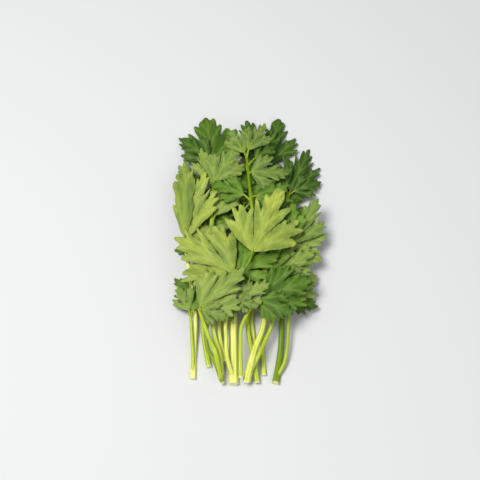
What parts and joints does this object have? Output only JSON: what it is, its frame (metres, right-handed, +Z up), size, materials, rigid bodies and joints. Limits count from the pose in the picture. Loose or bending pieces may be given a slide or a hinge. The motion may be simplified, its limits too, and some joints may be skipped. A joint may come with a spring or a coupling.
{
  "type": "parsley bunch",
  "caption": "Bunch of cut flat-leaf parsley lying down: bare stalks side by side at one end, toothed lobed leaves piled in layers towards the other.",
  "frame": {"origin": "middle of the bunch's box seen from above, on the surface that the bunch lies on", "axes": "+Z up; +Y from the cut ends of the stalks towards the leaf tips, along the bunch; +X across it"},
  "size_m": [0.0844, 0.1606, 0.0307],
  "materials": {
    "green_sprig": "fresh leaf showing its upper side: mid to deep green, soft satin, with paler veins; stalks pale green",
    "pale_sprig": "fresh leaf showing mostly its back: light yellow-green, matt, with fine raised veins; stalks pale yellow-green with fine grooves"
  },
  "bodies": {
    "root": {"sprig_01": "green_sprig", "sprig_02": "green_sprig", "sprig_03": "green_sprig", "sprig_04": "green_sprig", "sprig_05": "green_sprig", "sprig_06": "pale_sprig", "sprig_07": "pale_sprig", "sprig_08": "pale_sprig", "sprig_09": "pale_sprig", "sprig_10": "pale_sprig", "sprig_11": "pale_sprig", "sprig_12": "green_sprig", "sprig_13": "green_sprig"}
  },
  "joints": []
}
